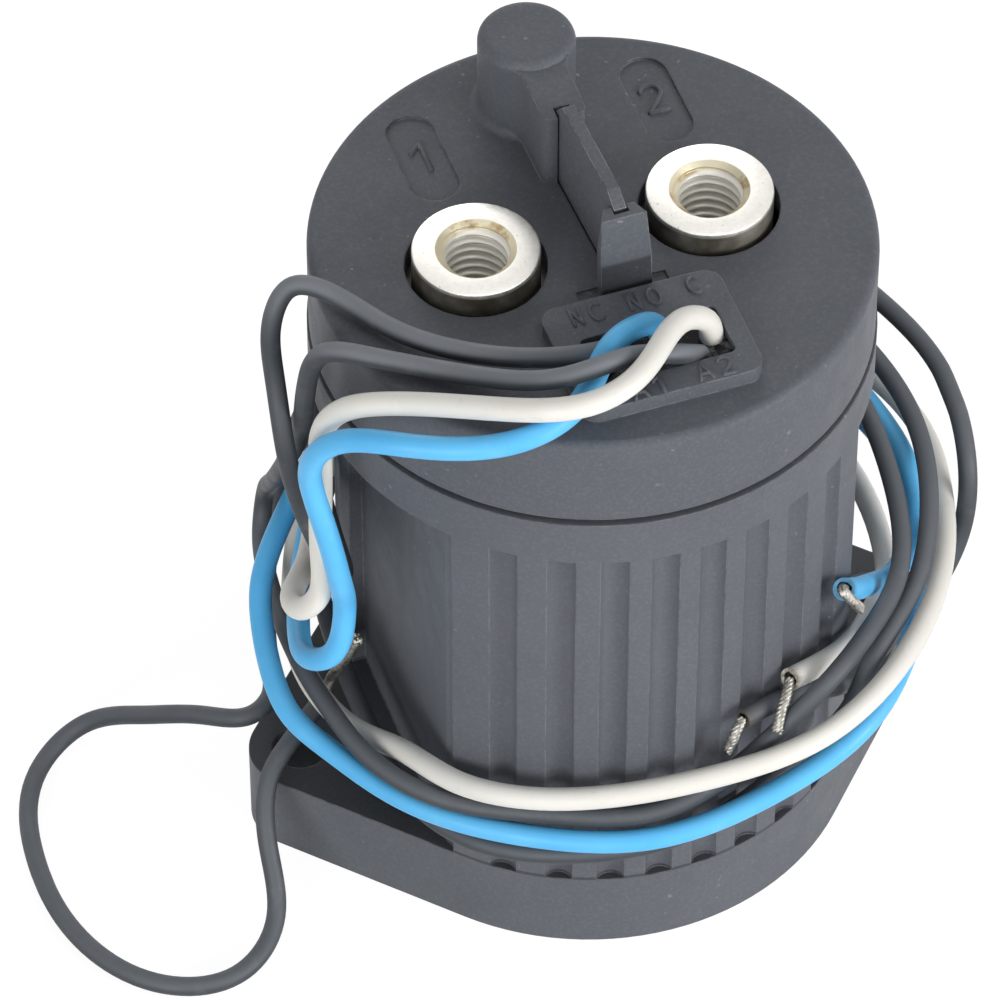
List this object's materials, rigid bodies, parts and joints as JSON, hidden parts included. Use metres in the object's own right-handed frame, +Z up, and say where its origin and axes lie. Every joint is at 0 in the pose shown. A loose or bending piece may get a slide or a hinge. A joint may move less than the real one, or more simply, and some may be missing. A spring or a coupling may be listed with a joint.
{
  "type": "high voltage dc contactor",
  "caption": "Sealed single pole high voltage dc contactor with fluted black housing, mounting ears, two threaded power terminals, barrier plate and loose coil and auxiliary leads",
  "frame": {"origin": "centre of the bottom face of the base, on the axis of the round body", "axes": "+X from terminal 1 to terminal 2 and through both ears, +Y to the back where the tower stands, +Z up out of the terminals"},
  "size_m": [0.1128, 0.08, 0.0952],
  "materials": {
    "housing_plastic": "matte moulded, dusty, slightly worn edges",
    "cap_plastic": "matte moulded, fine pale specks, pale worn edges",
    "barrier_plastic": "matte moulded sheet with pale edges",
    "potting_resin": "cured resin, glossy with scuffs",
    "terminal_metal": "plated, turned face, dull tarnished sides",
    "ceramic": "sintered white ceramic",
    "magnetic_steel": "zinc plated",
    "brass_tube": "drawn",
    "rest_rubber": "moulded",
    "insulator_plastic": "moulded",
    "copper": "bare copper colour",
    "magnet": "ground",
    "switch_plastic": "moulded",
    "button_plastic": "moulded",
    "shaft_steel": "ground stainless",
    "spring_steel": "drawn wire",
    "contact_alloy": "silver alloy",
    "black_insulation": "matte wire insulation, light scuffs",
    "blue_insulation": "satin wire insulation",
    "white_insulation": "satin wire insulation",
    "tinned_strands": "twisted tinned copper strands"
  },
  "bodies": {
    "base": {"housing": "housing_plastic", "cap": "cap_plastic", "barrier_plate": "barrier_plastic", "potting": "potting_resin", "terminal_1": "terminal_metal", "terminal_2": "terminal_metal", "arc_chamber": "ceramic", "top_plate": "magnetic_steel", "yoke": "magnetic_steel", "core_tube": "brass_tube", "pole_piece": "magnetic_steel", "rest_pad": "rest_rubber", "coil_bobbin": "insulator_plastic", "coil_winding": "copper", "arc_magnets": "magnet", "exhaust_tube": "copper", "aux_switch": "switch_plastic", "return_spring": "spring_steel", "lead_black_1": "black_insulation", "lead_black_2": "black_insulation", "lead_blue": "blue_insulation", "lead_white": "white_insulation", "strand_black_1": "tinned_strands", "strand_black_2": "tinned_strands", "strand_blue": "tinned_strands", "strand_white": "tinned_strands"},
    "armature": {"moving_core": "magnetic_steel", "shaft": "shaft_steel", "shaft_collar": "insulator_plastic", "shaft_clip": "shaft_steel", "contact_spring": "spring_steel"},
    "bridge": {"contact_bridge": "copper", "bridge_tips": "contact_alloy"},
    "aux_plunger": {"aux_button": "button_plastic"}
  },
  "joints": [
    {"name": "armature_slide", "type": "slide", "parent": "base", "child": "armature", "axis": [0, 0, 1], "range_m": [0, 0.0025], "stiffness_N_per_m": 800, "springref_m": -0.002, "deforming": ["return_spring"]},
    {"name": "bridge_overtravel", "type": "slide", "parent": "armature", "child": "bridge", "axis": [0, 0, 1], "range_m": [-0.0005, 0], "deforming": ["contact_spring"]},
    {"name": "aux_plunger_slide", "type": "slide", "parent": "base", "child": "aux_plunger", "axis": [0, 0, 1], "range_m": [0, 0.0005]}
  ],
  "couplings": [
    {"joint": "bridge_overtravel", "follows": "armature_slide", "ratio": -0.2},
    {"joint": "aux_plunger_slide", "follows": "armature_slide", "ratio": 0.2}
  ]
}
